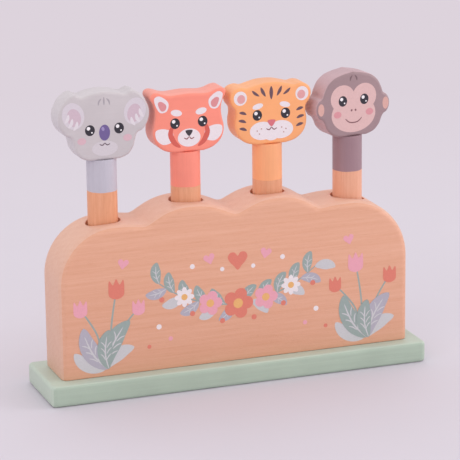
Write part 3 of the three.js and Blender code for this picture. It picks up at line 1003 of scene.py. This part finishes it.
# Print on the block's front: a hanging garland, a bed of tulips at each end, and loose hearts and dots
garden = {
    "sage": "#98a5a2", "mist": "#b1abb8", "pale": "#c9c6ca", "coral": "#dd7d6c", "pink": "#e8a2b1",
    "white": "#eadfe2", "sun": "#e8b070",
}
leafStyle = {  # along the leaf in shares of its length, across it in shares of its width
    "sway": 0.1, "spine": (0.33, 0.7), "taper": 0.8,
    "rib": (0.4, 0.85), "ribSway": 0.7, "ribWidth": 0.1, "lineTaper": 0.5,
    "veinFrom": 0.24, "veinRun": 0.46, "veinSway": 0.8, "veinRoot": 0.1, "veinReach": 0.36, "veinRise": 0.16,
    "veinBend": 0.02, "veinWidth": 0.07,
}


def leaf(page, base, angle, length, width, hexCode, layer=2, veins=2):
    style = leafStyle
    tip = heading(angle) * length
    side = Vector((-tip.y, tip.x)) * style["sway"]
    start = Vector(base)
    spine = [start, *(start + tip * share + side for share in style["spine"]), start + tip]
    stroke(page, spine, width, hexCode, layer, taper=style["taper"])

    def line(points, share):
        stroke(page, points, width * share, garden["pale"], layer + 1, taper=style["lineTaper"])

    middle, end = style["rib"]
    rib = [start, start + tip * middle + side, start + tip * end + side * style["ribSway"]]
    line(rib, style["ribWidth"])
    across = Vector((-tip.y, tip.x)).normalized() * width * style["veinReach"]
    for i in range(veins):
        foot = start + tip * (style["veinFrom"] + style["veinRun"] * i / veins) + side * style["veinSway"]
        for hand in (-1, 1):
            root = foot + across * hand * style["veinRoot"]
            reach = foot + tip * style["veinRise"] + across * hand
            line([root, (foot + reach) / 2 + tip * style["veinBend"], reach], style["veinWidth"])


flower = {"petalPlace": 0.6, "petal": 0.42, "roundPetals": 5, "middle": 0.32, "layer": 4}


def daisy(page, centre, radius, petals, hexCode):
    long, middle = radius * flower["petal"], radius * flower["middle"]
    for i in range(petals):
        angle = 360 * i / petals
        out = heading(angle) * radius * flower["petalPlace"]
        radii = (long, long * flower["roundPetals"] / petals)
        oval(page, Vector(centre) + out, radii, hexCode, flower["layer"], turn=angle)
    oval(page, centre, (middle, middle), garden["sun"], flower["layer"] + 1)


tulips = {
    "cup": [(-0.55, -0.5), (0, -0.75), (0.55, -0.5), (0.62, 0.1), (0.55, 0.72), (0.26, 0.36), (0, 0.82),
            (-0.26, 0.36), (-0.55, 0.72), (-0.62, 0.1)],
    "stem": 1.2, "stemTaper": 0.2, "bend": (0.2, 0.5), "foot": 10, "leafFoot": 5, "leafStep": 0.8,
    "veins": 3,
    "stems": ((-3, 49, -5, 8.8, 0), (3, 38, 14, 7.6, 1), (-5, 35, -18, 7.0, 1)),
    "leaves": ((148, 25, 9.5, "pale"), (32, 25, 9.5, "pale"), (118, 36, 12, "sage"), (62, 34, 12, "mist"),
               (92, 27, 10.5, "sage")),
}


def tulip(page, foot, height, lean, size, hexCode):
    foot = Vector(foot)
    top = foot + Vector((lean, height))
    across, up = tulips["bend"]
    stem = [foot, foot + Vector((lean * across, height * up)), top]
    stroke(page, stem, tulips["stem"], garden["sage"], 1, taper=tulips["stemTaper"])
    patch(page, tulips["cup"], hexCode, 4, centre=top, size=size)


def tulipBed(page, x, side, colours):
    for offset, height, lean, size, tone in tulips["stems"]:
        foot = (x + side * offset, tulips["foot"])
        tulip(page, foot, height, side * lean, size, garden[colours[tone]])
    for order, (angle, length, width, tone) in enumerate(tulips["leaves"]):
        bend = angle if side > 0 else 180 - angle
        foot = (x + (order - 2) * tulips["leafStep"], tulips["leafFoot"])
        leaf(page, foot, bend, length, width, garden[tone], layer=2 * order + 2, veins=tulips["veins"])


def heart(page, centre, size, hexCode, turn=0):
    half = [(0, 0.42), (0.3, 0.74), (0.72, 0.72), (0.94, 0.32), (0.74, -0.12), (0.38, -0.5)]
    whole = [*half, (0, -0.9), *[(-x, z) for x, z in reversed(half[1:])]]
    patch(page, whole, hexCode, 3, centre=centre, turn=turn, size=size)


garland = {
    "centre": (0, 128), "radius": 88, "from": 229, "to": 311, "cordSteps": 8, "cord": 1.1, "cordTaper": 0.2,
    "leaves": 20, "leaf": (15, 7.2), "leafLean": 46, "leafTones": ("sage", "mist", "sage", "pale"),
    "flowers": ((270, 10.5, 5, "coral"), (257, 8.4, 5, "pink"), (283, 8.4, 5, "pink"),
                (244.5, 6.8, 8, "white"), (295.5, 6.8, 8, "white")),
    "berry": 1.8, "berries": ((236, 8), (250.5, 9), (263.5, 11.5), (276.5, 11.5), (289.5, 9), (304, 8)),
}


def onGarland(angle, outwards=0):
    return Vector(garland["centre"]) + heading(angle) * (garland["radius"] + outwards)


def hangGarland(page):
    start, count, steps = garland["from"], garland["leaves"], garland["cordSteps"]
    span = garland["to"] - start
    cord = [onGarland(start + span * i / steps) for i in range(steps + 1)]
    stroke(page, cord, garland["cord"], garden["sage"], 1, taper=garland["cordTaper"])
    for i in range(count):
        angle = start + span * (i + 0.5) / count
        towards = 1 if angle > 270 else -1
        outside = 1 if i % 2 else -1
        direction = angle + 90 * towards - outside * towards * garland["leafLean"]
        tones = garland["leafTones"]
        leaf(page, onGarland(angle), direction, *garland["leaf"], garden[tones[i % len(tones)]])
    for angle, radius, petals, tone in garland["flowers"]:
        daisy(page, onGarland(angle), radius, petals, garden[tone])
    for angle, outwards in garland["berries"]:
        oval(page, onGarland(angle, outwards), (garland["berry"], garland["berry"]), garden["coral"], 4)


loose = {
    "heart": ((0, 70), 7.4), "hearts": ((20, 73, 4.2, -14), (80, 76, 4.0, 12)), "bed": 93,
    "dots": ((11, 65, 1.5, "white"), (32, 69, 1.7, "white"), (56, 30, 1.8, "white"), (48, 21, 1.5, "pink"),
             (63, 17, 1.4, "coral")),
}


def makeBlockPrint():
    page = newPage()
    hangGarland(page)
    heart(page, *loose["heart"], garden["coral"])
    for side in (-1, 1):
        for x, z, size, turn in loose["hearts"]:
            heart(page, (side * x, z), size, garden["pink"], turn=side * turn)
        for x, z, size, tone in loose["dots"]:
            oval(page, (side * x, z), (size, size), garden[tone], 2)
        colours = ("coral", "pink") if side < 0 else ("pink", "coral")
        tulipBed(page, side * loose["bed"], side, colours)
    bm = moved(page["mesh"], (0, blockLow.y, blockLow.z))
    piece = toObject(bm, "blockPrint", [inkMaterial("blockInk")])
    settle(piece, "stand", "light_wood")


makeBlockPrint()
print("block printed")

# Studio
studio = {
    "floor": "#d3ccd6", "floorSize": 12, "floorRoughness": 0.9, "floorTones": (0.99, 1.01),
    "floorMottle": {"stretch": (6, 6, 6), **plain},
    "background": "#ddd3dc", "ambient": 0.96, "ambientColour": (1, 1, 1, 1), "fadeFrom": 0.2, "fadeTo": 0.9,
    "lampAim": (0, 0, 0.1),
    "key": {"place": (2.8, -0.9, 1.0), "size": 1.8, "power": 30},
    "filler": {"place": (-2.4, -1.6, 1.3), "size": 1.8, "power": 12},
    "back": {"place": (0.2, 1.8, 2.4), "size": 1.8, "power": 6},
}


def makeFloor():  # away from the toy it fades into the background
    bm = bmesh.new()
    bmesh.ops.create_grid(bm, x_segments=1, y_segments=1, size=studio["floorSize"] / 2)
    mesh = bpy.data.meshes.new("floor")
    bm.to_mesh(mesh)
    bm.free()
    material, tree, shader = newMaterial("paleFloor")
    tone = pattern(tree, placeOnPiece(tree), studio["floorMottle"], *studio["floorTones"])
    colour = toned(tree, linear(studio["floor"]), tone)
    connect(tree, shader, {"Base Color": colour, "Roughness": studio["floorRoughness"]})
    distance = addNode(tree, "VectorMath", {0: placeOnPiece(tree)}, operation="LENGTH")["Value"]
    share = remap(tree, distance, studio["fadeFrom"], studio["fadeTo"])
    share = calculate(tree, "MULTIPLY", share, addNode(tree, "LightPath", {})["Is Camera Ray"])
    glow = addNode(tree, "Emission", {"Color": linear(studio["background"])})[0]
    lit = tree.nodes["Principled BSDF"].outputs[0]
    shown = addNode(tree, "MixShader", {0: share, 1: lit, 2: glow})[0]
    tree.links.new(shown, tree.nodes["Material Output"].inputs["Surface"])
    mesh.materials.append(material)
    floor = addObject("floor", mesh)


def makeWorld():
    world = bpy.data.worlds.new("studioWorld")
    bpy.context.scene.world = world
    world.use_nodes = True
    tree = world.node_tree
    tree.nodes.clear()
    light = addNode(tree, "LightPath", {})
    seen = calculate(tree, "MAXIMUM", light["Is Camera Ray"], light["Is Glossy Ray"])
    seen = calculate(tree, "MAXIMUM", seen, light["Is Transmission Ray"])
    ambient = {"Color": studio["ambientColour"], "Strength": studio["ambient"]}
    unseen = addNode(tree, "Background", ambient)[0]
    shown = addNode(tree, "Background", {"Color": linear(studio["background"])})[0]
    both = addNode(tree, "MixShader", {0: seen, 1: unseen, 2: shown})[0]
    addNode(tree, "OutputWorld", {"Surface": both})


def makeLamp(name):
    settings = studio[name]
    lamp = bpy.data.lights.new(name, "AREA")
    lamp.size = settings["size"]
    lamp.energy = settings["power"]
    holder = addObject(name, lamp)
    place = Vector(settings["place"])
    holder.location = place
    holder.rotation_euler = (place - Vector(studio["lampAim"])).to_track_quat("Z", "Y").to_euler()


# Camera: left of the front and a little above, as the toy was photographed
camera = {
    "left": 19.7, "up": 15.4, "roll": -0.7, "distance": 1.769, "aim": (0.002, 0, 0.1),
    "lens": 206, "sensor": 36,
}


def makeCamera():
    data = bpy.data.cameras.new("camera")
    data.lens = camera["lens"]
    data.sensor_width = camera["sensor"]
    holder = addObject("camera", data)
    left, up = radians(camera["left"]), radians(camera["up"])
    back = Vector((-sin(left) * cos(up), -cos(left) * cos(up), sin(up)))
    turn = back.to_track_quat("Z", "Y").to_matrix() @ Matrix.Rotation(radians(camera["roll"]), 3, "Z")
    holder.rotation_euler = turn.to_euler()
    holder.location = Vector(camera["aim"]) + back * camera["distance"]
    bpy.context.scene.camera = holder


makeFloor()
makeWorld()
for name in ("key", "filler", "back"):
    makeLamp(name)
makeCamera()
bpy.context.scene.view_settings.view_transform = "Standard"
print("studio set")
